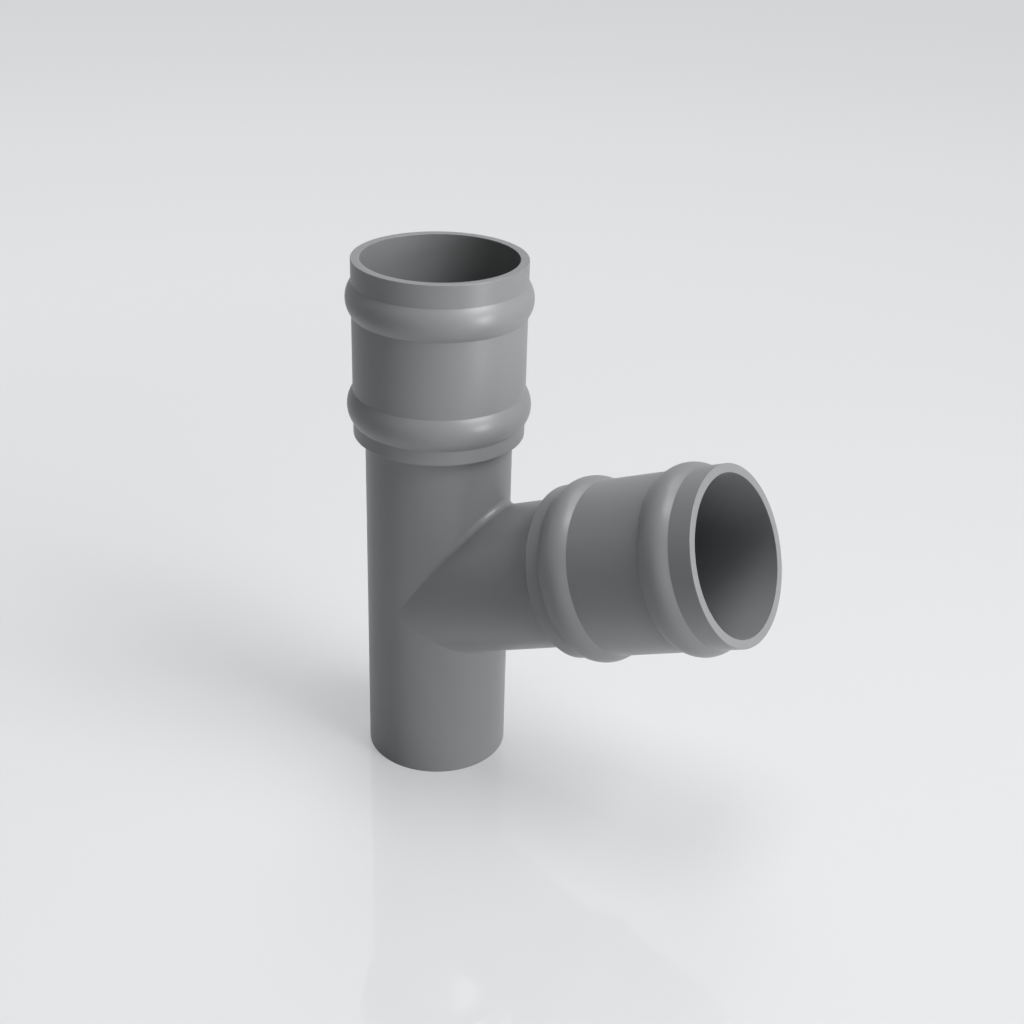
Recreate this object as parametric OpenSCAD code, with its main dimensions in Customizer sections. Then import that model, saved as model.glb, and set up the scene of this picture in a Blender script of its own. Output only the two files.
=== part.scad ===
// Round downpipe branch, cast in one piece: a spigot at the foot, a beaded socket on top,
// and an arm that leaves the pipe at 112.5 degrees and ends in the same beaded socket.
// Millimetres, +Z up along the pipe, +X towards the arm.
// The origin is the centre of the spigot's foot.

/* [Pipe] */
// Outside diameter of the spigot, and of the arm between the crotch and its socket
pipe_od = 76; // [60:1:110]
// Wall of the pipe and of the arm
pipe_wall = 3.5; // [2.5:0.5:6]
// Length of the true round spigot that enters the socket below
spigot_length = 68; // [50:1:120]
// Bevel that leads the spigot in
spigot_bevel = 0.5; // [0.2:0.1:0.7]
// Radius that the cast body gains between the spigot and the upright socket
casting_draft = 0.1; // [0.05:0.05:0.4]

/* [Branch] */
// Rise of the arm above the horizontal
arm_rise = 22.5; // [10:0.5:45]
// Plain pipe between the spigot and the lower crotch
foot_gap = 4; // [3:0.5:40]
// Plain pipe between the upper crotch and the upright socket
upright_neck = 34.3; // [20:0.1:120]
// Plain pipe between the upper crotch and the socket of the arm
arm_neck = 35.5; // [20:0.5:120]
// Radius of the fillet where the arm grows out of the pipe
crotch_fillet = 3; // [1.5:0.5:5]

/* [Sockets] */
// Radial room between a socket and the pipe that enters it
socket_room = 1.5; // [0.5:0.1:3]
// Wall of a socket
socket_wall = 4.5; // [3:0.5:8]
// Depth from the mouth of a socket to the seat that stops the pipe
socket_depth = 86.5; // [60:0.5:120]
// Thickness of the ring between a socket's seat and its shoulder
socket_floor = 6; // [3:0.5:12]
// Broken edge at the rim of a socket's mouth
rim_break = 0.5; // [0.2:0.1:1]
// Radius of the cove under a socket's shoulder
root_cove = 2; // [1:0.5:4]

/* [Beads] */
// Height of a bead above the socket's barrel
bead_bulge = 3; // [1:0.5:6]
// Radius of the arc that shapes a bead
bead_arc = 13; // [9:0.5:20]
// From the mouth to the crest of the outer bead
mouth_to_bead = 20; // [14:0.5:30]
// From the shoulder to the crest of the inner bead
shoulder_to_bead = 16; // [14:0.5:30]

/* [Hidden] */
$fn = 120;

pipe_r = pipe_od / 2;
waterway_r = pipe_r - pipe_wall;
body_r = pipe_r + casting_draft;
socket_r = pipe_r + socket_room;
barrel_r = socket_r + socket_wall;
socket_length = socket_floor + socket_depth;

// The two crotches lie on the +X side of the pipe, below and above the arm's axis
crotch_drop = pipe_r * (1 - sin(arm_rise)) / cos(arm_rise);
crotch_climb = pipe_r * (1 + sin(arm_rise)) / cos(arm_rise);
arm_z = spigot_length + foot_gap + crotch_drop;
upright_shoulder = arm_z + crotch_climb + upright_neck;
arm_shoulder = crotch_climb + arm_neck;

// How far a cutter or a buried shape passes the face that it has to clear
overrun = 1;

// Fillet mesh: strips across its arc, degrees between its sections, the turn round the
// arm where it ends, and how deep its ends dive
fillet_strips = 5;
fillet_step = 2.5;
fillet_reach = 75;
fillet_dive = 0.4;

// Radius of the cast body where the arm's axis leaves it
crossing_r = pipe_r + casting_draft * (arm_z - spigot_length) / (upright_shoulder - spigot_length);

// Half section of a bead, sunk into the barrel, with its crest at the given height
module bead_section(crest) {
    intersection() {
        translate([barrel_r + bead_bulge - bead_arc, crest]) circle(bead_arc);
        translate([barrel_r - overrun, crest - bead_arc]) square([bead_bulge + 2 * overrun, 2 * bead_arc]);
    }
}

// Half section of a solid socket that stands on its shoulder, with the cove under it
// against a pipe of the given radius
module socket_section(shoulder, root_r) {
    mouth = shoulder + socket_length;
    polygon([
        [0, shoulder],
        [barrel_r, shoulder],
        [barrel_r, mouth - rim_break],
        [barrel_r - rim_break, mouth],
        [0, mouth]
    ]);
    bead_section(mouth - mouth_to_bead);
    bead_section(shoulder + shoulder_to_bead);
    difference() {
        translate([root_r - overrun, shoulder - root_cove]) square([root_cove + overrun, root_cove + overrun]);
        translate([root_r + root_cove, shoulder - root_cove]) circle(root_cove);
    }
}

// Half section of the hollow of a socket, from its seat to past its mouth
module socket_hollow(shoulder) {
    seat = shoulder + socket_floor;
    mouth = shoulder + socket_length;
    polygon([
        [0, seat],
        [socket_r, seat],
        [socket_r, mouth - rim_break],
        [socket_r + rim_break, mouth],
        [socket_r + rim_break, mouth + overrun],
        [0, mouth + overrun]
    ]);
}

// Places what is drawn along +Z on the arm's axis, from the axis of the pipe outwards
module along_arm() {
    translate([0, 0, arm_z]) rotate([0, 90 - arm_rise, 0]) children();
}

// The upright: round spigot, drafted body and socket, without its hollow
module upright_outside() {
    rotate_extrude() {
        polygon([
            [0, 0],
            [pipe_r - spigot_bevel, 0],
            [pipe_r, spigot_bevel],
            [pipe_r, spigot_length],
            [body_r, upright_shoulder - root_cove],
            [body_r, upright_shoulder + overrun],
            [0, upright_shoulder + overrun]
        ]);
        socket_section(upright_shoulder, body_r);
    }
}

// The arm and its socket, without their hollow
module arm_outside() {
    along_arm() rotate_extrude() {
        square([pipe_r, arm_shoulder + overrun]);
        socket_section(arm_shoulder, pipe_r);
    }
}

// The water's way down the pipe, which keeps the wall even behind the draft
module upright_hollow() {
    rotate_extrude() {
        polygon([
            [0, -overrun],
            [waterway_r, -overrun],
            [waterway_r, spigot_length],
            [waterway_r + casting_draft, upright_shoulder],
            [waterway_r + casting_draft, upright_shoulder + socket_floor + overrun],
            [0, upright_shoulder + socket_floor + overrun]
        ]);
        socket_hollow(upright_shoulder);
    }
}

// The water's way in from the arm
module arm_hollow() {
    along_arm() rotate_extrude() {
        square([waterway_r, arm_shoulder + socket_floor + overrun]);
        socket_hollow(arm_shoulder);
    }
}

// Point given along the arm's axis, level across it, and up square to both
function arm_point(along, across, up) = [
    along * cos(arm_rise) - up * sin(arm_rise),
    across,
    arm_z + along * sin(arm_rise) + up * cos(arm_rise)
];

// Centre of the ball that rolls along the crotch, touching pipe and arm, where
// turn is its angle round the arm's axis and 0 is on top
function ball_centre(turn) =
    let (
        across = (pipe_r + crotch_fillet) * sin(turn),
        up = (pipe_r + crotch_fillet) * cos(turn),
        out = sqrt(pow(crossing_r + crotch_fillet, 2) - pow(across, 2))
    )
    [out, across, arm_z + (up + out * sin(arm_rise)) / cos(arm_rise)];

// Directions from the ball's centre to where it touches the pipe and the arm
function towards_pipe(centre) = -[centre.x, centre.y, 0] / norm([centre.x, centre.y]);
function towards_arm(turn) = -(arm_point(0, sin(turn), cos(turn)) - [0, 0, arm_z]);

// One section of the fillet: its arc from pipe to arm, with both ends run on under the
// surfaces, and a last point buried in the metal behind the crotch. A sunk section lies
// that much deeper in the metal.
function fillet_section(turn, sunk) =
    let (
        centre = ball_centre(turn),
        from = towards_pipe(centre),
        to = towards_arm(turn),
        span = acos(from * to),
        inwards = (from + to) / norm(from + to),
        arc = [
            for (i = [0:fillet_strips])
            centre + sunk * inwards + crotch_fillet * (
                from * sin(span * (1 - i / fillet_strips)) + to * sin(span * i / fillet_strips)
            ) / sin(span)
        ],
        last = len(arc) - 1,
        start = arc[0] + overrun * (arc[0] - arc[1]) / norm(arc[0] - arc[1]),
        end = arc[last] + overrun * (arc[last] - arc[last - 1]) / norm(arc[last] - arc[last - 1]),
        buried = centre + (crotch_fillet / cos(span / 2) + sunk + overrun) * inwards
    )
    concat([start], [for (i = [1:last - 1]) arc[i]], [end, buried]);

// The fillet over the stretch of crotch whose middle is at the given turn round the arm.
// Its first and last sections dive under the surfaces, so that it runs out to nothing.
module crotch_fillet_strip(middle) {
    sections = [
        for (turn = [-fillet_reach:fillet_step:fillet_reach])
        fillet_section(middle + turn, abs(turn) == fillet_reach ? fillet_dive : 0)
    ];
    count = len(sections);
    ring = len(sections[0]);
    sides = [
        for (i = [0:count - 2], j = [0:ring - 1])
        let (
            a = i * ring + j,
            b = i * ring + (j + 1) % ring,
            c = b + ring,
            d = a + ring
        )
        each [[a, c, b], [a, d, c]]
    ];
    polyhedron(
        points = [for (section = sections) each section],
        faces = concat(
            sides,
            [[for (j = [0:ring - 1]) j]],
            [[for (j = [ring - 1:-1:0]) (count - 1) * ring + j]]
        )
    );
}

// The whole casting: pipe, spigot, arm and both sockets are one piece of metal
module branch_casting() {
    color("#77797b") difference() {
        union() {
            upright_outside();
            arm_outside();
            crotch_fillet_strip(0);
            crotch_fillet_strip(180);
        }
        upright_hollow();
        arm_hollow();
    }
}

branch_casting();
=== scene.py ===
"""Dresses the packed downpipe branch for its picture.

The real branch is one aluminium casting with a grey powder coat, so it is one piece here as well.
Both pipes are spun from half sections, the arm's open end is rolled round the crotch as the fillet of
the casting, and the two are welded into one closed skin. Sizes are in millimetres, as the CAD source
has them, and MM turns them to Blender's metres. +Z is up the pipe and +X is the arm's side.
"""

import logging
import math
from dataclasses import dataclass, field
from enum import Enum
from typing import Any, Callable

import bmesh
import bpy
from mathutils import Euler, Matrix, Vector

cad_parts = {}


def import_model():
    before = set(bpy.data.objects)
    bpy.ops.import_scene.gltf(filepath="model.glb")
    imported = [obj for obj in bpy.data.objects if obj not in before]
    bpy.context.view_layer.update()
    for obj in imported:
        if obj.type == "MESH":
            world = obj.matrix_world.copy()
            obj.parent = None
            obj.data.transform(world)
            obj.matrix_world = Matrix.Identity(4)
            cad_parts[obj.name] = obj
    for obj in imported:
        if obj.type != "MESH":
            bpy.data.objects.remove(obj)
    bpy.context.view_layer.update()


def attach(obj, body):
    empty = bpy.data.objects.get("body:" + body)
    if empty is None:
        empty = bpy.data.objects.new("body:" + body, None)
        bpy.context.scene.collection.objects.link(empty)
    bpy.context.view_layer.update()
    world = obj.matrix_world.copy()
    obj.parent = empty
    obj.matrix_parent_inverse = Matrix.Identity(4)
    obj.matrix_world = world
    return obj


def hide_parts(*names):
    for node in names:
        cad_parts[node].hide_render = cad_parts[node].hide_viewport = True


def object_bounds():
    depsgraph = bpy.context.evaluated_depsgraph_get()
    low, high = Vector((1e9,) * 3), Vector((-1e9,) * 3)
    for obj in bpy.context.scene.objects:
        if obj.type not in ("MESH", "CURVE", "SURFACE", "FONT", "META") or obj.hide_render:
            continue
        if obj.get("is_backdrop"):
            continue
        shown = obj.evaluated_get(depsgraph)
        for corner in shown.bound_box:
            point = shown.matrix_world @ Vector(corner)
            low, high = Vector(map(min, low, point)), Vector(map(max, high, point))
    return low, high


MM = 0.001
# How near a point lies to a surface that it is on, in millimetres
ON_SURFACE = 0.01
# How far off a bore's wall or seat a point may lie and still belong to it, in millimetres
NEAR_BORE = 1.0
# How near two vertices lie that are merged, in metres
MERGED = 2e-6
# How near a vertex lies to the point that it was drawn at, in metres
SAME_POINT = 1e-7
# How near two directions lie that have no arc between them, in radians
SAME_WAY = 1e-5
CASTING_NODE = "branch_casting"
# Mesh attribute that the coat's painted shade down the bores reads
BORE_DEPTH = "bore depth"

log = logging.getLogger("downpipe_branch")


class Skin(Enum):
    """The two skins of the pipe wall that meet in the junction."""

    OUTSIDE = "outside"
    INSIDE = "inside"


# Half sections


@dataclass
class HalfSection:
    """A half section, drawn point by point as (distance from the axis, height) in millimetres.

    Attributes:
        points: The points drawn so far.
    """

    points: list[Vector] = field(default_factory=list)

    def to(self, radius: float, height: float) -> None:
        """Draws a straight line.

        Args:
            radius: Distance of its end from the axis.
            height: Height of its end.
        """
        self.points.append(Vector((radius, height)))

    def arc(self, centre: Vector, radius: float, start: float, end: float, steps: int) -> None:
        """Draws an arc.

        Args:
            centre: Its centre.
            radius: Its radius.
            start: Angle of its first point in degrees, 0 outwards and 90 up.
            end: Angle of its last point in degrees.
            steps: Straight pieces that it is made of.
        """
        for i in range(steps + 1):
            angle = math.radians(start + (end - start) * i / steps)
            self.points.append(centre + radius * Vector((math.cos(angle), math.sin(angle))))

    def corner(
        self, at: tuple[float, float], after: tuple[float, float], radius: float, steps: int = 4
    ) -> None:
        """Draws a line up to a corner and rounds it.

        Args:
            at: The sharp corner.
            after: A point on the line that leaves it.
            radius: Radius that rounds it.
            steps: Straight pieces of the rounding.
        """
        tip = Vector(at)
        back = (self.points[-1] - tip).normalized()
        ahead = (Vector(after) - tip).normalized()
        half = back.angle(ahead) / 2
        centre = tip + (back + ahead).normalized() * (radius / math.sin(half))
        first = tip + back * (radius / math.tan(half)) - centre
        last = tip + ahead * (radius / math.tan(half)) - centre
        span = first.angle(last)
        for i in range(steps + 1):
            share = i / steps
            blend = first * math.sin(span * (1 - share)) + last * math.sin(span * share)
            self.points.append(centre + blend / math.sin(span))


# Modelling


def edit(piece: bpy.types.Object) -> bmesh.types.BMesh:
    """Opens a piece in edit mode with nothing selected.

    Args:
        piece: The mesh object to open.

    Returns:
        The mesh as it is in edit mode.
    """
    if bpy.context.object is not None and bpy.context.object.mode != "OBJECT":
        bpy.ops.object.mode_set(mode="OBJECT")
    bpy.ops.object.select_all(action="DESELECT")
    piece.select_set(True)
    bpy.context.view_layer.objects.active = piece
    bpy.ops.object.mode_set(mode="EDIT")
    bpy.ops.mesh.select_all(action="DESELECT")
    return bmesh.from_edit_mesh(piece.data)


def select(piece: bpy.types.Object, kind: str, test: Callable[[Any], bool]) -> list[Any]:
    """Selects the vertices, edges or faces of the piece in edit mode that pass a test.

    Args:
        piece: The mesh object that is in edit mode.
        kind: "VERT", "EDGE" or "FACE".
        test: Says of one of them whether it is wanted.

    Returns:
        What was selected.
    """
    bpy.ops.mesh.select_mode(type=kind)
    bpy.ops.mesh.select_all(action="DESELECT")
    mesh = bmesh.from_edit_mesh(piece.data)
    parts = {"VERT": mesh.verts, "EDGE": mesh.edges, "FACE": mesh.faces}[kind]
    chosen = [part for part in parts if test(part)]
    for part in chosen:
        part.select_set(True)
    mesh.select_flush_mode()
    bmesh.update_edit_mesh(piece.data)
    return chosen


def spin_section(name: str, section: HalfSection, columns: int, closed: bool) -> bpy.types.Object:
    """Draws a half section by extruding a single point along it, and spins it round the Z axis.

    Args:
        name: Name of the new piece.
        section: The half section in millimetres.
        columns: Faces round the axis.
        closed: Whether the section's last point joins its first.

    Returns:
        The spun piece, at the origin.
    """
    points = [Vector((p.x, 0, p.y)) * MM for p in section.points]
    bpy.ops.object.select_all(action="DESELECT")
    bpy.ops.mesh.primitive_plane_add(size=MM, location=points[0])
    piece = bpy.context.object
    piece.name = piece.data.name = name
    bpy.ops.object.transform_apply(location=True, rotation=True, scale=True)
    edit(piece)
    bpy.ops.mesh.select_mode(type="VERT")
    bpy.ops.mesh.select_all(action="SELECT")
    bpy.ops.mesh.merge(type="CENTER")
    for last, point in zip(points, points[1:]):
        bpy.ops.mesh.extrude_vertices_move(TRANSFORM_OT_translate={"value": point - last})
    if closed:
        first, end = points[0], points[-1]
        select(piece, "VERT", lambda v: min((v.co - first).length, (v.co - end).length) < SAME_POINT)
        bpy.ops.mesh.edge_face_add()
    bpy.ops.mesh.select_all(action="SELECT")
    bpy.ops.mesh.spin(steps=columns, angle=math.tau, center=(0, 0, 0), axis=(0, 0, 1), use_auto_merge=True)
    bpy.ops.mesh.select_all(action="SELECT")
    bpy.ops.mesh.remove_doubles(threshold=MERGED)
    bpy.ops.object.mode_set(mode="OBJECT")
    return piece


# The casting


@dataclass(frozen=True)
class BeadedSocket:
    """The socket that both pipes end in: flat rim, two round beads and a short lip at its shoulder.

    Attributes:
        pipe_radius: Outside radius of the pipe that it grows from.
        waterway: Inside radius of that pipe.
        room: Radial room round the pipe that enters it.
        wall: Wall of the barrel.
        depth: From the mouth to the seat.
        floor: Thickness of the ring between seat and shoulder.
        rim_round: Radius of the broken edges at the mouth.
        shoulder_round: Radius of the shoulder's outer edge.
        cove: Radius of the cast cove under the shoulder.
        bead_height: Height of a bead above the barrel.
        bead_arc: Radius of the arc that shapes a bead.
        bead_root: Radius where a bead runs into the barrel.
        bead_steps: Faces across a bead, and across each of its roots.
        cove_steps: Faces across the cove.
        mouth_to_bead: From the mouth to the crest of the outer bead.
        shoulder_to_bead: From the shoulder to the crest of the inner bead.
    """

    pipe_radius: float = 38.0
    waterway: float = 34.5
    room: float = 1.5
    wall: float = 4.5
    depth: float = 86.5
    floor: float = 6.0
    rim_round: float = 0.3
    shoulder_round: float = 0.6
    cove: float = 2.0
    bead_height: float = 3.0
    bead_arc: float = 13.0
    bead_root: float = 0.7
    bead_steps: tuple[int, int] = (22, 4)
    cove_steps: int = 6
    mouth_to_bead: float = 20.0
    shoulder_to_bead: float = 16.0

    @property
    def bore(self) -> float:
        """Inside radius of the socket."""
        return self.pipe_radius + self.room

    @property
    def barrel(self) -> float:
        """Outside radius of the socket between its beads."""
        return self.bore + self.wall

    @property
    def length(self) -> float:
        """From the shoulder to the mouth."""
        return self.floor + self.depth

    def draw_bead(self, section: HalfSection, crest: float) -> None:
        """Draws a bead upwards, with the small roots that run it into the barrel.

        Args:
            section: The half section to draw on.
            crest: Height of its crest.
        """
        middle = Vector((self.barrel + self.bead_height - self.bead_arc, crest))
        root_out = self.barrel + self.bead_root
        reach = self.bead_arc + self.bead_root
        lean = math.degrees(math.acos((root_out - middle.x) / reach))
        rise = reach * math.sin(math.radians(lean))
        across, root = self.bead_steps
        section.arc(Vector((root_out, crest - rise)), self.bead_root, 180, 180 - lean, root)
        section.arc(middle, self.bead_arc, -lean, lean, across)
        section.arc(Vector((root_out, crest + rise)), self.bead_root, 180 + lean, 180, root)

    def draw(self, section: HalfSection, shoulder: float, end: float) -> None:
        """Draws the socket from the pipe's outside, over its rim and down to the waterway.

        Args:
            section: The half section, drawn up to the outside of the pipe.
            shoulder: Height of the shoulder.
            end: Height to which the waterway is drawn back.
        """
        mouth = shoulder + self.length
        seat = shoulder + self.floor
        cove_middle = Vector((self.pipe_radius + self.cove, shoulder - self.cove))
        section.arc(cove_middle, self.cove, 180, 90, self.cove_steps)
        section.corner((self.barrel, shoulder), (self.barrel, mouth), self.shoulder_round)
        self.draw_bead(section, shoulder + self.shoulder_to_bead)
        self.draw_bead(section, mouth - self.mouth_to_bead)
        section.corner((self.barrel, mouth), (self.bore, mouth), self.rim_round)
        section.corner((self.bore, mouth), (self.bore, seat), self.rim_round)
        section.corner((self.bore, seat), (self.waterway, seat), self.rim_round)
        section.corner((self.waterway, seat), (self.waterway, end), self.rim_round)
        section.to(self.waterway, end)


@dataclass(frozen=True)
class Crotch:
    """The saddle in which the arm leaves the pipe, and the ball that rolls its fillet.

    Both pipes have the same radius. A turn is an angle round the arm's axis with 0 on top, and the
    same angle round the pipe's axis is the place where the arm meets it.

    Attributes:
        arm_height: Height at which the arm's axis leaves the pipe's axis.
        rise: Rise of the arm above the horizontal, in degrees.
        fillet: Radius of the fillet.
        strips: Faces across the fillet.
    """

    arm_height: float = 97.391
    rise: float = 22.5
    fillet: float = 3.0
    strips: int = 12

    @property
    def tilt(self) -> tuple[float, float]:
        """Cosine and sine of the arm's rise."""
        return math.cos(math.radians(self.rise)), math.sin(math.radians(self.rise))

    def along(self, radius: float, turn: float) -> float:
        """Distance along the arm's axis at which two pipes of one radius cross.

        Args:
            radius: Radius of both.
            turn: Turn round the arm's axis, in radians.

        Returns:
            The distance from the pipe's axis.
        """
        cosine, sine = self.tilt
        return radius * (abs(math.cos(turn)) + sine * math.cos(turn)) / cosine

    def on_arm(self, radius: float, turn: float, along: float) -> Vector:
        """A point beside the arm's axis.

        Args:
            radius: Its distance from that axis.
            turn: Its turn round that axis, in radians.
            along: Its place along that axis.

        Returns:
            The point, in millimetres.
        """
        cosine, sine = self.tilt
        up = radius * math.cos(turn)
        return Vector((
            along * cosine - up * sine,
            radius * math.sin(turn),
            self.arm_height + along * sine + up * cosine,
        ))

    def turn_of(self, place: Vector) -> float:
        """The turn of a point round the arm's axis.

        Args:
            place: The point, in millimetres.

        Returns:
            Its turn, in radians.
        """
        cosine, sine = self.tilt
        return math.atan2(place.y, (place.z - self.arm_height) * cosine - place.x * sine)

    def crossing(self, radius: float, turn: float) -> Vector:
        """The point where two pipes of one radius cross.

        Args:
            radius: Radius of both.
            turn: Turn round the arm's axis, in radians.

        Returns:
            The point, in millimetres.
        """
        return self.on_arm(radius, turn, self.along(radius, turn))

    def fillet_point(self, pipe_radius: float, turn: float, share: float) -> Vector:
        """A point of the fillet, on the ball that touches both pipes.

        Args:
            pipe_radius: Outside radius of both pipes.
            turn: Turn round the arm's axis, in radians.
            share: 0 where the ball touches the arm, and 1 where it touches the pipe.

        Returns:
            The point, in millimetres.
        """
        ball = self.crossing(pipe_radius + self.fillet, turn)
        to_arm = self.on_arm(-1, turn, 0) - Vector((0, 0, self.arm_height))
        to_pipe = -Vector((ball.x, ball.y, 0)).normalized()
        span = to_arm.angle(to_pipe)
        if span < SAME_WAY:
            return ball + self.fillet * to_arm
        blend = to_arm * math.sin(span * (1 - share)) + to_pipe * math.sin(span * share)
        return ball + self.fillet * blend / math.sin(span)


@dataclass
class BranchCasting:
    """The whole branch: upright and arm spun, filleted at the crotch and welded into one skin.

    Attributes:
        socket: The socket at the end of both pipes.
        crotch: Where and how the arm leaves the upright.
        upright_shoulder: Height of the upright socket's shoulder.
        arm_shoulder: From the pipe's axis to the arm socket's shoulder, 0.11 less than in the CAD, whose
            rim is broken more.
        foot_round: Radius that leads the spigot in.
        columns: Faces round each pipe, a multiple of 4.
        band: Height of the row that is cut into the wall where the arm opens it.
        seam: Height of the seam where the upright's half section starts and ends, inside the foot.
        crease: Angle from which an edge is shaded sharp, in degrees.
    """

    socket: BeadedSocket = field(default_factory=BeadedSocket)
    crotch: Crotch = field(default_factory=Crotch)
    upright_shoulder: float = 188.562
    arm_shoulder: float = 92.26
    foot_round: float = 0.5
    columns: int = 144
    band: float = 8.0
    seam: float = 20.0
    crease: float = 35.0

    def radius(self, skin: Skin) -> float:
        """Radius of both pipes at one of their skins.

        Args:
            skin: The skin.

        Returns:
            The radius in millimetres.
        """
        return self.socket.pipe_radius if skin is Skin.OUTSIDE else self.socket.waterway

    def upright_section(self) -> HalfSection:
        """Draws the closed half section of the upright.

        Returns:
            The section, which starts and ends inside the foot.
        """
        pipe, water = self.radius(Skin.OUTSIDE), self.radius(Skin.INSIDE)
        section = HalfSection()
        section.to(water, self.seam)
        section.corner((water, 0), (pipe, 0), self.foot_round)
        section.corner((pipe, 0), (pipe, self.seam), self.foot_round)
        self.socket.draw(section, self.upright_shoulder, self.seam)
        section.points.pop()
        return section

    def arm_section(self) -> HalfSection:
        """Draws the half section of the arm, open where it meets the pipe.

        Returns:
            The section, from the outside at the pipe's axis to the waterway there.
        """
        section = HalfSection()
        section.to(self.radius(Skin.OUTSIDE), 0)
        self.socket.draw(section, self.arm_shoulder, 0)
        return section

    def open_window(self, upright: bpy.types.Object, skin: Skin) -> None:
        """Opens one skin of the upright where the arm enters, and lays the edge on the crotch.

        A low row is cut right round the wall, its front half is taken out, and the edge that is left
        is drawn up and down to the line where the fillet, or the arm's waterway, meets the wall.

        Args:
            upright: The spun upright.
            skin: The skin to open.
        """
        radius = self.radius(skin)
        reach = radius + (self.crotch.fillet if skin is Skin.OUTSIDE else 0)
        low = self.crotch.arm_height - self.band / 2
        high = self.crotch.arm_height + self.band / 2

        def on_wall(vertex: bmesh.types.BMVert) -> bool:
            """Whether a vertex lies on this skin of the pipe."""
            return abs(vertex.co.xy.length / MM - radius) < ON_SURFACE

        def in_wall(face: bmesh.types.BMFace) -> bool:
            """Whether a face of this skin passes the height of the arm's axis."""
            heights = [v.co.z / MM for v in face.verts]
            passes = min(heights) < self.crotch.arm_height < max(heights)
            return passes and all(on_wall(v) for v in face.verts)

        edit(upright)
        for height in (low, high):
            select(upright, "FACE", in_wall)
            bpy.ops.mesh.bisect(plane_co=(0, 0, height * MM), plane_no=(0, 0, 1))
        select(upright, "FACE", lambda f: in_wall(f) and f.calc_center_median().x > 0)
        bpy.ops.mesh.delete(type="FACE")
        mesh = bmesh.from_edit_mesh(upright.data)
        for vertex in mesh.verts:
            if not on_wall(vertex) or vertex.co.x < -SAME_POINT:
                continue
            side = math.atan2(vertex.co.y, vertex.co.x)
            if abs(vertex.co.z / MM - high) < ON_SURFACE:
                turn = side
            elif abs(vertex.co.z / MM - low) < ON_SURFACE:
                turn = math.pi - side
            else:
                continue
            vertex.co.z = self.crotch.crossing(reach, turn).z * MM
        bmesh.update_edit_mesh(upright.data)
        bpy.ops.object.mode_set(mode="OBJECT")

    def build_upright(self) -> bpy.types.Object:
        """Spins the upright and opens both of its skins towards the arm.

        Returns:
            The upright.
        """
        upright = spin_section("upright", self.upright_section(), self.columns, closed=True)
        for skin in Skin:
            self.open_window(upright, skin)
        return upright

    def build_arm(self) -> bpy.types.Object:
        """Spins the arm, lays it on its axis and rolls its open end round the crotch.

        Returns:
            The arm, whose open ends lie on the edges of the upright's windows.
        """
        arm = spin_section("arm", self.arm_section(), self.columns, closed=False)
        arm.location = (0, 0, self.crotch.arm_height * MM)
        arm.rotation_euler = Euler((0, math.radians(90 - self.crotch.rise), 0))
        bpy.ops.object.transform_apply(location=True, rotation=True, scale=True)
        mesh = edit(arm)
        turns = mesh.verts.layers.float.new("turn")
        bmesh.update_edit_mesh(arm.data)
        open_ends = [v for v in mesh.verts if v.is_boundary]
        pipe, water = self.radius(Skin.OUTSIDE), self.radius(Skin.INSIDE)
        outer: set[int] = set()
        for vertex in open_ends:
            turn = self.crotch.turn_of(vertex.co / MM)
            away = (vertex.co / MM - Vector((0, 0, self.crotch.arm_height))).length
            vertex[turns] = turn
            if abs(away - pipe) < ON_SURFACE:
                outer.add(vertex.index)
                vertex.co = self.crotch.fillet_point(pipe, turn, 0) * MM
            else:
                vertex.co = self.crotch.crossing(water, turn) * MM
        select(arm, "EDGE", lambda e: e.is_boundary and all(v.index in outer for v in e.verts))
        for strip in range(1, self.crotch.strips + 1):
            share = strip / self.crotch.strips
            bpy.ops.mesh.extrude_edges_move(TRANSFORM_OT_translate={"value": (0, 0, 0)})
            mesh = bmesh.from_edit_mesh(arm.data)
            turns = mesh.verts.layers.float["turn"]
            for vertex in mesh.verts:
                if vertex.select:
                    vertex.co = self.crotch.fillet_point(pipe, vertex[turns], share) * MM
            bmesh.update_edit_mesh(arm.data)
        bpy.ops.object.mode_set(mode="OBJECT")
        arm.data.attributes.remove(arm.data.attributes["turn"])
        return arm

    def bore_depth(self, radius: float, height: float, shoulder: float) -> float:
        """How deep in a bore a point lies.

        Args:
            radius: Its distance from the axis of its pipe.
            height: Its place along that axis.
            shoulder: Place of the socket's shoulder along that axis.

        Returns:
            0 outside and at the mouth, 1 in the waterway, and between them down the socket.
        """
        seat, mouth = shoulder + self.socket.floor, shoulder + self.socket.length
        if height > seat - NEAR_BORE:
            in_socket = radius < self.socket.bore + NEAR_BORE and height < mouth - self.socket.rim_round
            return min(1.0, (mouth - height) / (mouth - seat)) if in_socket else 0.0
        return float(radius < self.socket.waterway + NEAR_BORE and height > self.foot_round)

    def mark_bores(self, casting: bpy.types.Object) -> None:
        """Writes into the mesh how deep in a bore each vertex lies, for the coat's painted shade to read.

        Args:
            casting: The finished casting.
        """
        cosine, sine = self.crotch.tilt
        depth = casting.data.attributes.new(BORE_DEPTH, "FLOAT", "POINT")
        for vertex in casting.data.vertices:
            place = vertex.co / MM
            above = place.z - self.crotch.arm_height
            along = place.x * cosine + above * sine
            beside = math.hypot(place.y, above * cosine - place.x * sine)
            in_upright = self.bore_depth(place.xy.length, place.z, self.upright_shoulder)
            in_arm = self.bore_depth(beside, along, self.arm_shoulder)
            past_upright = along > self.socket.waterway
            depth.data[vertex.index].value = max(in_upright, in_arm) if past_upright else in_upright

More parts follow.
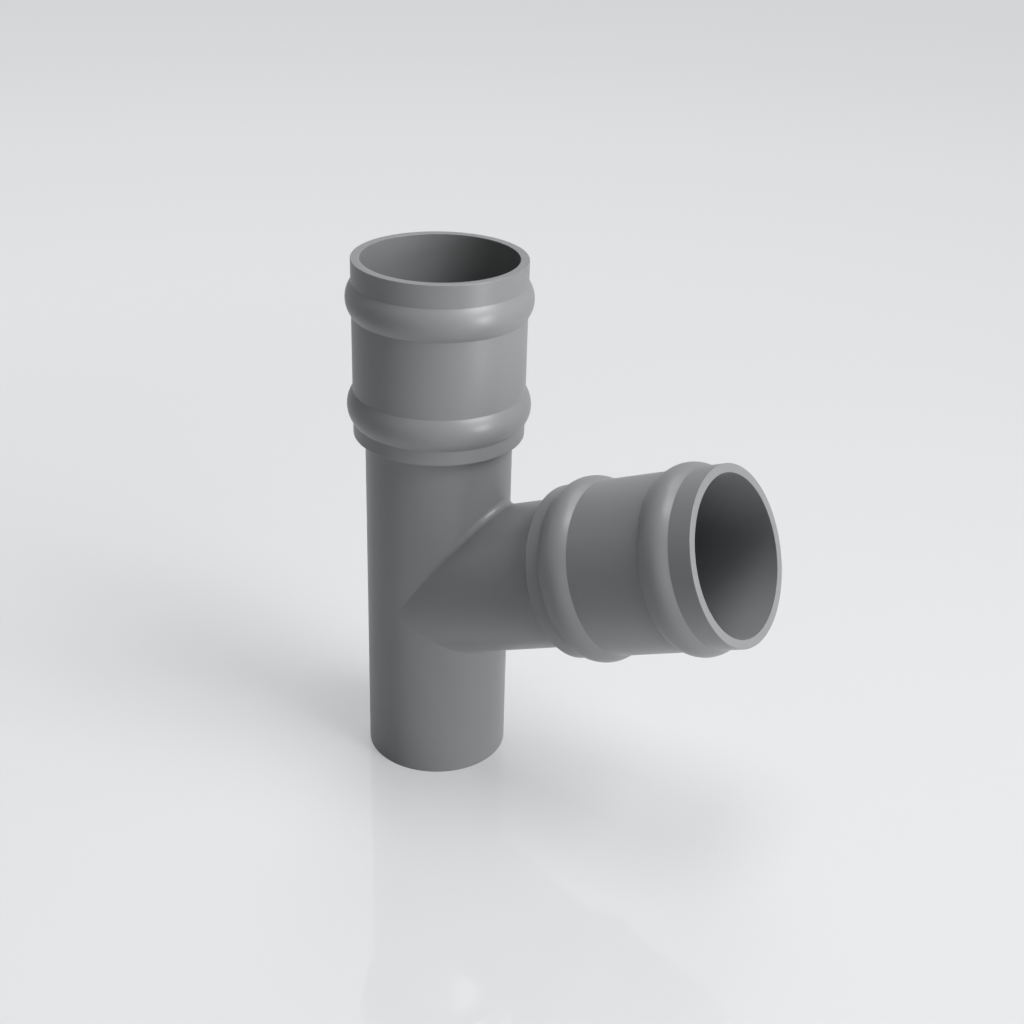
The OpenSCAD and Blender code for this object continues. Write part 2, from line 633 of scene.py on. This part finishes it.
    def build(self) -> bpy.types.Object:
        """Welds upright and arm into the one casting that stands for the CAD node.

        Returns:
            The finished casting.
        """
        upright, arm = self.build_upright(), self.build_arm()
        bpy.ops.object.select_all(action="DESELECT")
        arm.select_set(True)
        upright.select_set(True)
        bpy.context.view_layer.objects.active = upright
        bpy.ops.object.join()
        casting = bpy.context.object
        casting.name = casting.data.name = "casting"
        edit(casting)
        bpy.ops.mesh.select_all(action="SELECT")
        bpy.ops.mesh.remove_doubles(threshold=MERGED)
        bpy.ops.mesh.normals_make_consistent(inside=False)
        mesh = bmesh.from_edit_mesh(casting.data)
        loose = sum(not e.is_manifold for e in mesh.edges)
        volume = mesh.calc_volume(signed=True) / MM**3
        bpy.ops.object.mode_set(mode="OBJECT")
        bpy.ops.object.shade_smooth_by_angle(angle=math.radians(self.crease))
        weigh = casting.modifiers.new("flats keep their shading", "WEIGHTED_NORMAL")
        weigh.keep_sharp = True
        bpy.ops.object.modifier_apply(modifier=weigh.name)
        self.mark_bores(casting)
        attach(casting, "root")
        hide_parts(CASTING_NODE)
        log.info("casting: %d faces, %d open edges, %.0f mm3", len(casting.data.polygons), loose, volume)
        return casting


# Finishes


def linear(code: str) -> tuple[float, float, float, float]:
    """Turns an sRGB hex code into the linear colour that a shader takes.

    Args:
        code: The colour as "#rrggbb".

    Returns:
        Linear red, green and blue, with an alpha of 1.
    """
    parts = [int(code[i:i + 2], 16) / 255 for i in (1, 3, 5)]
    red, green, blue = (p / 12.92 if p <= 0.04045 else ((p + 0.055) / 1.055) ** 2.4 for p in parts)
    return red, green, blue, 1.0


def add_node(
    tree: bpy.types.NodeTree,
    kind: str,
    settings: dict[str, Any] | None = None,
    inputs: dict[str, Any] | None = None,
) -> bpy.types.Node:
    """Adds a node with its settings and inputs.

    Args:
        tree: The node tree that takes it.
        kind: Its type name.
        settings: Values of its properties.
        inputs: A value for an input, or the output that is linked to it.

    Returns:
        The new node.
    """
    node = tree.nodes.new(kind)
    for name, value in (settings or {}).items():
        setattr(node, name, value)
    for name, value in (inputs or {}).items():
        socket = node.inputs[int(name)] if name.isdigit() else node.inputs[name]
        if isinstance(value, bpy.types.NodeSocket):
            tree.links.new(value, socket)
        else:
            socket.default_value = value
    return node


def new_material(name: str) -> tuple[bpy.types.Material, bpy.types.NodeTree]:
    """Makes an empty node material.

    Args:
        name: Its name.

    Returns:
        The material and its node tree.
    """
    material = bpy.data.materials.new(name)
    material.use_nodes = True
    material.node_tree.nodes.clear()
    return material, material.node_tree


def backdrop_level(tree: bpy.types.NodeTree, mirrored: float) -> bpy.types.NodeSocket:
    """Lets the backdrop be dimmer where it is mirrored, as one with lit and unlit parts is.

    Args:
        tree: The node tree that asks.
        mirrored: Its level for the rays that mirror it.

    Returns:
        An output that is 1 where the backdrop is seen, and mirrored where it is mirrored.
    """
    rays = add_node(tree, "ShaderNodeLightPath")
    return add_node(tree, "ShaderNodeMath", {"operation": "MULTIPLY_ADD"}, {
        "0": rays.outputs["Is Glossy Ray"], "1": mirrored - 1, "2": 1.0}).outputs[0]


def shows_backdrop(tree: bpy.types.NodeTree) -> bpy.types.NodeSocket:
    """Tells the rays that show the backdrop, or mirror it, from those that carry its light.

    Args:
        tree: The node tree that asks.

    Returns:
        An output that is 1 for camera, glossy and transmission rays, and 0 for the rest.
    """
    rays = add_node(tree, "ShaderNodeLightPath")
    seen = add_node(tree, "ShaderNodeMath", {"operation": "MAXIMUM"}, {
        "0": rays.outputs["Is Camera Ray"], "1": rays.outputs["Is Glossy Ray"]})
    return add_node(tree, "ShaderNodeMath", {"operation": "MAXIMUM"}, {
        "0": seen.outputs[0], "1": rays.outputs["Is Transmission Ray"]}).outputs[0]


@dataclass(frozen=True)
class PowderCoat:
    """Grey polyester powder coat, sprayed on an aluminium casting and baked.

    It gives the eye a satin skin with soft, wide highlights, a fine orange peel in them, and a tone
    that wanders slightly where the coat is thicker or thinner. Down the bores it is darkened by painted
    shade.

    Attributes:
        colour: Colour of the coat.
        thin: Colour where the coat is thinner.
        deep: Colour deep in the bores, a painted shade for the light that doesn't reach down them.
        roughness: Roughness of the baked coat.
        peel: Width of one bump of the orange peel, in millimetres.
        peel_depth: Height of the orange peel, in millimetres.
        cast: Width of the slow waves of the casting under the coat, in millimetres.
        cast_depth: Height of those waves, in millimetres.
        cloud: Width of the patches in which the tone wanders, in millimetres.
        sheen: How far the roughness wanders with the orange peel.
        bore_shade_depths: Depths in a bore, as shares of a socket, between which the painted shade sets in.
        ior: Index of refraction of the coat, that of polyester.
    """

    colour: str = "#868788"
    thin: str = "#808182"
    deep: str = "#616266"
    roughness: float = 0.34
    peel: float = 1.4
    peel_depth: float = 0.006
    cast: float = 16.0
    cast_depth: float = 0.03
    cloud: float = 45.0
    sheen: float = 0.04
    bore_shade_depths: tuple[float, float] = (0.1, 0.8)
    ior: float = 1.5

    def build(self) -> bpy.types.Material:
        """Builds the material.

        Returns:
            The material.
        """
        material, tree = new_material("grey powder coat on cast aluminium")
        place = add_node(tree, "ShaderNodeTexCoord").outputs["Object"]
        cloud = add_node(tree, "ShaderNodeTexNoise", inputs={
            "Vector": place, "Scale": 1 / (self.cloud * MM), "Detail": 3.0, "Roughness": 0.55})
        peel = add_node(tree, "ShaderNodeTexNoise", inputs={
            "Vector": place, "Scale": 1 / (self.peel * MM), "Detail": 1.0, "Roughness": 0.5})
        cast = add_node(tree, "ShaderNodeTexNoise", inputs={
            "Vector": place, "Scale": 1 / (self.cast * MM), "Detail": 2.0, "Roughness": 0.45})
        tone = add_node(tree, "ShaderNodeMix", {"data_type": "RGBA"}, {
            "0": cloud.outputs["Fac"], "6": linear(self.thin), "7": linear(self.colour)})
        # Painted shade: the colour darkens towards deep down the bores, where less light reaches
        bore = add_node(tree, "ShaderNodeAttribute", {"attribute_name": BORE_DEPTH})
        bore_shaded = add_node(tree, "ShaderNodeMapRange", {"interpolation_type": "SMOOTHSTEP"}, {
            "Value": bore.outputs["Fac"], "From Min": self.bore_shade_depths[0], "From Max": self.bore_shade_depths[1]})
        coated = add_node(tree, "ShaderNodeMix", {"data_type": "RGBA"}, {
            "0": bore_shaded.outputs["Result"], "6": tone.outputs[2], "7": linear(self.deep)})
        gloss = add_node(tree, "ShaderNodeMapRange", inputs={
            "Value": peel.outputs["Fac"],
            "To Min": self.roughness - self.sheen, "To Max": self.roughness + self.sheen})
        waves = add_node(tree, "ShaderNodeBump", inputs={
            "Strength": 1.0, "Distance": self.cast_depth * MM, "Height": cast.outputs["Fac"]})
        skin = add_node(tree, "ShaderNodeBump", inputs={
            "Strength": 1.0, "Distance": self.peel_depth * MM, "Height": peel.outputs["Fac"],
            "Normal": waves.outputs["Normal"]})
        coat = add_node(tree, "ShaderNodeBsdfPrincipled", inputs={
            "Base Color": coated.outputs[2], "Roughness": gloss.outputs["Result"], "IOR": self.ior,
            "Metallic": 0.0, "Normal": skin.outputs["Normal"]})
        add_node(tree, "ShaderNodeOutputMaterial", inputs={"Surface": coat.outputs["BSDF"]})
        return material


@dataclass(frozen=True)
class PaleSheet:
    """The pale seamless sheet that the branch stands on, smooth enough to mirror it faintly.

    Near the branch it is lit by the lamps and takes their shadows. Further off it has the even tone of
    a sheet that is lit over its whole depth, for the rays that show it and for those that mirror it.

    Attributes:
        colour: Its colour where it is seen or mirrored.
        thrown: Its colour for the light that it throws back on the branch.
        near: The even tone where it begins.
        far: The even tone far off, and of the backdrop.
        fade: Radii between which near turns into far, in metres.
        lit: Radii between which the lit sheet gives way to the even tone, in metres.
        haze: Share of the even tone that lies over the lit sheet as well, and lightens its shadows.
        bore: Radius inside which there is no haze, because the pipe stands round it, in metres.
        roughness: Roughness of its gloss.
        ior: Index of refraction of its skin.
        gloss: Strength of its mirror image, as the shader's specular level.
        mirrored: Level at which the far sheet is mirrored.
    """

    colour: str = "#e1e2e4"
    thrown: str = "#cfd0d1"
    near: str = "#e3e4e6"
    far: str = "#d4d5d7"
    fade: tuple[float, float] = (0.3, 3.0)
    lit: tuple[float, float] = (0.25, 0.9)
    haze: float = 0.4
    bore: float = 0.036
    roughness: float = 0.005
    ior: float = 1.8
    gloss: float = 1.0
    mirrored: float = 0.7

    @property
    def straight_gloss(self) -> float:
        """Share of the light that falls straight on the sheet which it mirrors.

        Fresnel's rule gives it. The shader takes a specular level of 0.5 as that rule, and 1 as twice it.
        """
        return 2 * self.gloss * ((self.ior - 1) / (self.ior + 1)) ** 2

    def build(self) -> bpy.types.Material:
        """Builds the material.

        Returns:
            The material.
        """
        material, tree = new_material("pale seamless sheet")
        place = add_node(tree, "ShaderNodeTexCoord").outputs["Object"]
        radius = add_node(tree, "ShaderNodeVectorMath", {"operation": "LENGTH"}, {"0": place})
        off = add_node(tree, "ShaderNodeMapRange", {"interpolation_type": "SMOOTHSTEP"}, {
            "Value": radius.outputs["Value"], "From Min": self.lit[0], "From Max": self.lit[1],
            "To Min": self.haze})
        outside = add_node(tree, "ShaderNodeMath", {"operation": "GREATER_THAN"}, {
            "0": radius.outputs["Value"], "1": self.bore})
        open_sheet = add_node(tree, "ShaderNodeMath", {"operation": "MULTIPLY"}, {
            "0": off.outputs["Result"], "1": outside.outputs[0]})
        even = add_node(tree, "ShaderNodeMath", {"operation": "MULTIPLY"}, {
            "0": open_sheet.outputs[0], "1": shows_backdrop(tree)})
        far = add_node(tree, "ShaderNodeMapRange", {"interpolation_type": "SMOOTHSTEP"}, {
            "Value": radius.outputs["Value"], "From Min": self.fade[0], "From Max": self.fade[1]})
        tone = add_node(tree, "ShaderNodeMix", {"data_type": "RGBA"}, {
            "0": far.outputs["Result"], "6": linear(self.near), "7": linear(self.far)})
        glow = add_node(tree, "ShaderNodeEmission", inputs={
            "Color": tone.outputs[2], "Strength": backdrop_level(tree, self.mirrored)})
        pale = add_node(tree, "ShaderNodeMix", {"data_type": "RGBA"}, {
            "0": shows_backdrop(tree), "6": linear(self.thrown), "7": linear(self.colour)})
        sheet = add_node(tree, "ShaderNodeBsdfPrincipled", inputs={
            "Base Color": pale.outputs[2], "Roughness": self.roughness, "IOR": self.ior,
            "Specular IOR Level": self.gloss})
        mixed = add_node(tree, "ShaderNodeMixShader", inputs={
            "Fac": even.outputs[0], "1": sheet.outputs["BSDF"], "2": glow.outputs["Emission"]})
        add_node(tree, "ShaderNodeOutputMaterial", inputs={"Surface": mixed.outputs["Shader"]})
        return material


# Camera and studio


@dataclass(frozen=True)
class SoftLamp:
    """A soft box that faces the branch.

    Attributes:
        name: Its name.
        azimuth: Where it stands, in degrees: 0 is in front along -Y, and 90 is at +X.
        elevation: Its height above the horizon, in degrees.
        distance: Distance from the branch, in metres.
        size: Width and height, in metres.
        power: Power in watts.
        mirrored: Whether the coat of the branch shows its highlight.
    """

    name: str
    azimuth: float
    elevation: float
    distance: float
    size: tuple[float, float]
    power: float
    mirrored: bool = True

    def build(self, aim: Vector, lit: bpy.types.Collection, mirrored: bool) -> bpy.types.Object:
        """Adds the lamp for some of the scene.

        Args:
            aim: The point that it faces, in metres.
            lit: What it lights.
            mirrored: Whether glossy surfaces show it.

        Returns:
            The lamp.
        """
        name = f"{self.name} on {lit.name}"
        data = bpy.data.lights.new(name, "AREA")
        data.shape = "RECTANGLE"
        data.size, data.size_y = self.size
        data.energy = self.power
        lamp = bpy.data.objects.new(name, data)
        lamp.visible_glossy = mirrored
        lamp.light_linking.receiver_collection = lit
        bpy.context.scene.collection.objects.link(lamp)
        back = direction(self.azimuth, self.elevation)
        lamp.location = aim + back * self.distance
        lamp.rotation_euler = back.to_track_quat("Z", "Y").to_euler()
        return lamp

    def build_image(self, aim: Vector, lit: bpy.types.Collection, gloss: float) -> None:
        """Adds the lamp's mirror image in the floor, which lights the branch from below.

        The floor mirrors more of the light that falls on it at a slant, by Schlick's rule.

        Args:
            aim: The point that the lamp faces, in metres.
            lit: What it lights, and what alone stands in its way.
            gloss: Share that the floor mirrors of light that falls straight on it.
        """
        image = self.build(aim, lit, self.mirrored)
        image.name = image.data.name = f"{self.name} in the floor"
        slant = 1 - math.sin(math.radians(self.elevation))
        image.data.energy = self.power * (gloss + (1 - gloss) * slant**5)
        image.light_linking.blocker_collection = lit
        image.location.z *= -1
        back = direction(self.azimuth, -self.elevation)
        image.rotation_euler = back.to_track_quat("Z", "Y").to_euler()


def direction(azimuth: float, elevation: float) -> Vector:
    """Direction from the branch to a place round it.

    Args:
        azimuth: Degrees, 0 in front along -Y and 90 at +X.
        elevation: Degrees above the horizon.

    Returns:
        The direction, of length 1.
    """
    a, e = math.radians(azimuth), math.radians(elevation)
    return Vector((math.sin(a) * math.cos(e), -math.cos(a) * math.cos(e), math.sin(e)))


@dataclass(frozen=True)
class Camera:
    """The camera at the photograph's viewing angle.

    Attributes:
        azimuth: Where it stands, in degrees: 0 is in front along -Y, and 90 is at +X.
        elevation: Its height above the horizon, in degrees.
        roll: Its turn round its own axis, in degrees.
        distance: Distance from its target, in millimetres.
        target: The point that it looks at, in millimetres.
        lens: Focal length, in millimetres.
        sensor: Width of the sensor, in millimetres.
        sees: Nearest and furthest distance that it sees, in metres.
    """

    azimuth: float = 31.245
    elevation: float = 26.826
    roll: float = 1.786
    distance: float = 800.26
    target: tuple[float, float, float] = (33.323, 20.217, 142.629)
    lens: float = 53.052
    sensor: float = 36.0
    sees: tuple[float, float] = (0.01, 100.0)

    def build(self) -> None:
        """Adds the camera and makes it the scene's."""
        data = bpy.data.cameras.new("camera")
        data.lens = self.lens
        data.sensor_width = self.sensor
        data.clip_start, data.clip_end = self.sees
        camera = bpy.data.objects.new("camera", data)
        bpy.context.scene.collection.objects.link(camera)
        back = direction(self.azimuth, self.elevation)
        right = Vector((0, 0, 1)).cross(back).normalized()
        upright = Matrix((right, back.cross(right), back)).transposed()
        turned = upright @ Matrix.Rotation(math.radians(self.roll), 3, "Z")
        place = (Vector(self.target) + back * self.distance) * MM
        camera.matrix_world = Matrix.Translation(place) @ turned.to_4x4()
        bpy.context.scene.camera = camera


@dataclass
class Studio:
    """The plain pale studio: floor, world and soft lamps.

    Attributes:
        sheet: Finish of the floor.
        floor_size: Side of the floor, in metres.
        sky: Colour of the world.
        sky_strength: Strength of the world's light.
        lamps: The soft boxes.
    """

    sheet: PaleSheet = field(default_factory=PaleSheet)
    floor_size: float = 16.0
    sky: str = "#e4e5e7"
    sky_strength: float = 0.02
    lamps: tuple[SoftLamp, ...] = (
        SoftLamp("low key", 87, 6, 4.0, (0.8, 0.9), 47.0),
        SoftLamp("side", 85, 30, 4.0, (3.0, 2.4), 48.0),
        SoftLamp("upper side", 95, 48, 4.0, (2.0, 2.0), 97.0),
        SoftLamp("high", 120, 62, 4.0, (1.6, 1.6), 15.0),
        SoftLamp("top", 0, 88, 4.0, (1.6, 1.6), 56.0),
        SoftLamp("back", 208, 61, 4.0, (1.6, 1.6), 24.0),
        SoftLamp("fill behind", 215, 16, 4.0, (3.0, 2.0), 40.0, False),
        SoftLamp("fill left", 300, 10, 4.0, (3.0, 2.0), 4.0, False),
    )

    def lit_by_itself(self, piece: bpy.types.Object) -> bpy.types.Collection:
        """Puts a piece into a collection of its own, which lamps can be given to.

        Args:
            piece: The piece.

        Returns:
            The collection.
        """
        lit = bpy.data.collections.new(piece.name)
        lit.objects.link(piece)
        return lit

    def build_floor(self) -> bpy.types.Object:
        """Lays the sheet.

        Returns:
            The floor.
        """
        bpy.ops.object.select_all(action="DESELECT")
        bpy.ops.mesh.primitive_plane_add(size=self.floor_size, location=(0, 0, 0))
        floor = bpy.context.object
        floor.name = "floor"
        floor.data.materials.append(self.sheet.build())
        floor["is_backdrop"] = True
        return floor

    def build_world(self) -> None:
        """Builds the backdrop, and the faint light that comes from all round."""
        world = bpy.data.worlds.new("studio")
        world.use_nodes = True
        tree = world.node_tree
        tree.nodes.clear()
        light = add_node(tree, "ShaderNodeBackground", inputs={
            "Color": linear(self.sky), "Strength": self.sky_strength})
        shown = add_node(tree, "ShaderNodeBackground", inputs={
            "Color": linear(self.sheet.far), "Strength": backdrop_level(tree, self.sheet.mirrored)})
        mixed = add_node(tree, "ShaderNodeMixShader", inputs={
            "Fac": shows_backdrop(tree), "1": light.outputs["Background"], "2": shown.outputs["Background"]})
        add_node(tree, "ShaderNodeOutputWorld", inputs={"Surface": mixed.outputs["Shader"]})
        bpy.context.scene.world = world

    def build_lamps(self, branch: bpy.types.Object, floor: bpy.types.Object) -> None:
        """Hangs the lamps round the branch.

        The sheet would mirror each lamp as a white patch, so it has lamps that it doesn't mirror.

        Args:
            branch: The finished casting.
            floor: The sheet that it stands on.
        """
        low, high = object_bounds()
        aim = (low + high) / 2
        on_branch, on_sheet = self.lit_by_itself(branch), self.lit_by_itself(floor)
        for lamp in self.lamps:
            lamp.build(aim, on_branch, lamp.mirrored)
            lamp.build_image(aim, on_branch, self.sheet.straight_gloss)
            lamp.build(aim, on_sheet, False)
        log.info("studio: %d soft lamps", len(self.lamps))

    def build(self, branch: bpy.types.Object) -> None:
        """Builds the studio round the branch.

        Args:
            branch: The finished casting.
        """
        floor = self.build_floor()
        self.build_world()
        self.build_lamps(branch, floor)
        bpy.context.scene.view_settings.view_transform = "Standard"


def main() -> None:
    """Builds the branch and its studio."""
    logging.basicConfig(level=logging.INFO, format="%(name)s: %(message)s")
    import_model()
    casting = BranchCasting().build()
    casting.data.materials.clear()
    casting.data.materials.append(PowderCoat().build())
    Camera().build()
    Studio().build(casting)


if __name__ == "__main__":
    main()
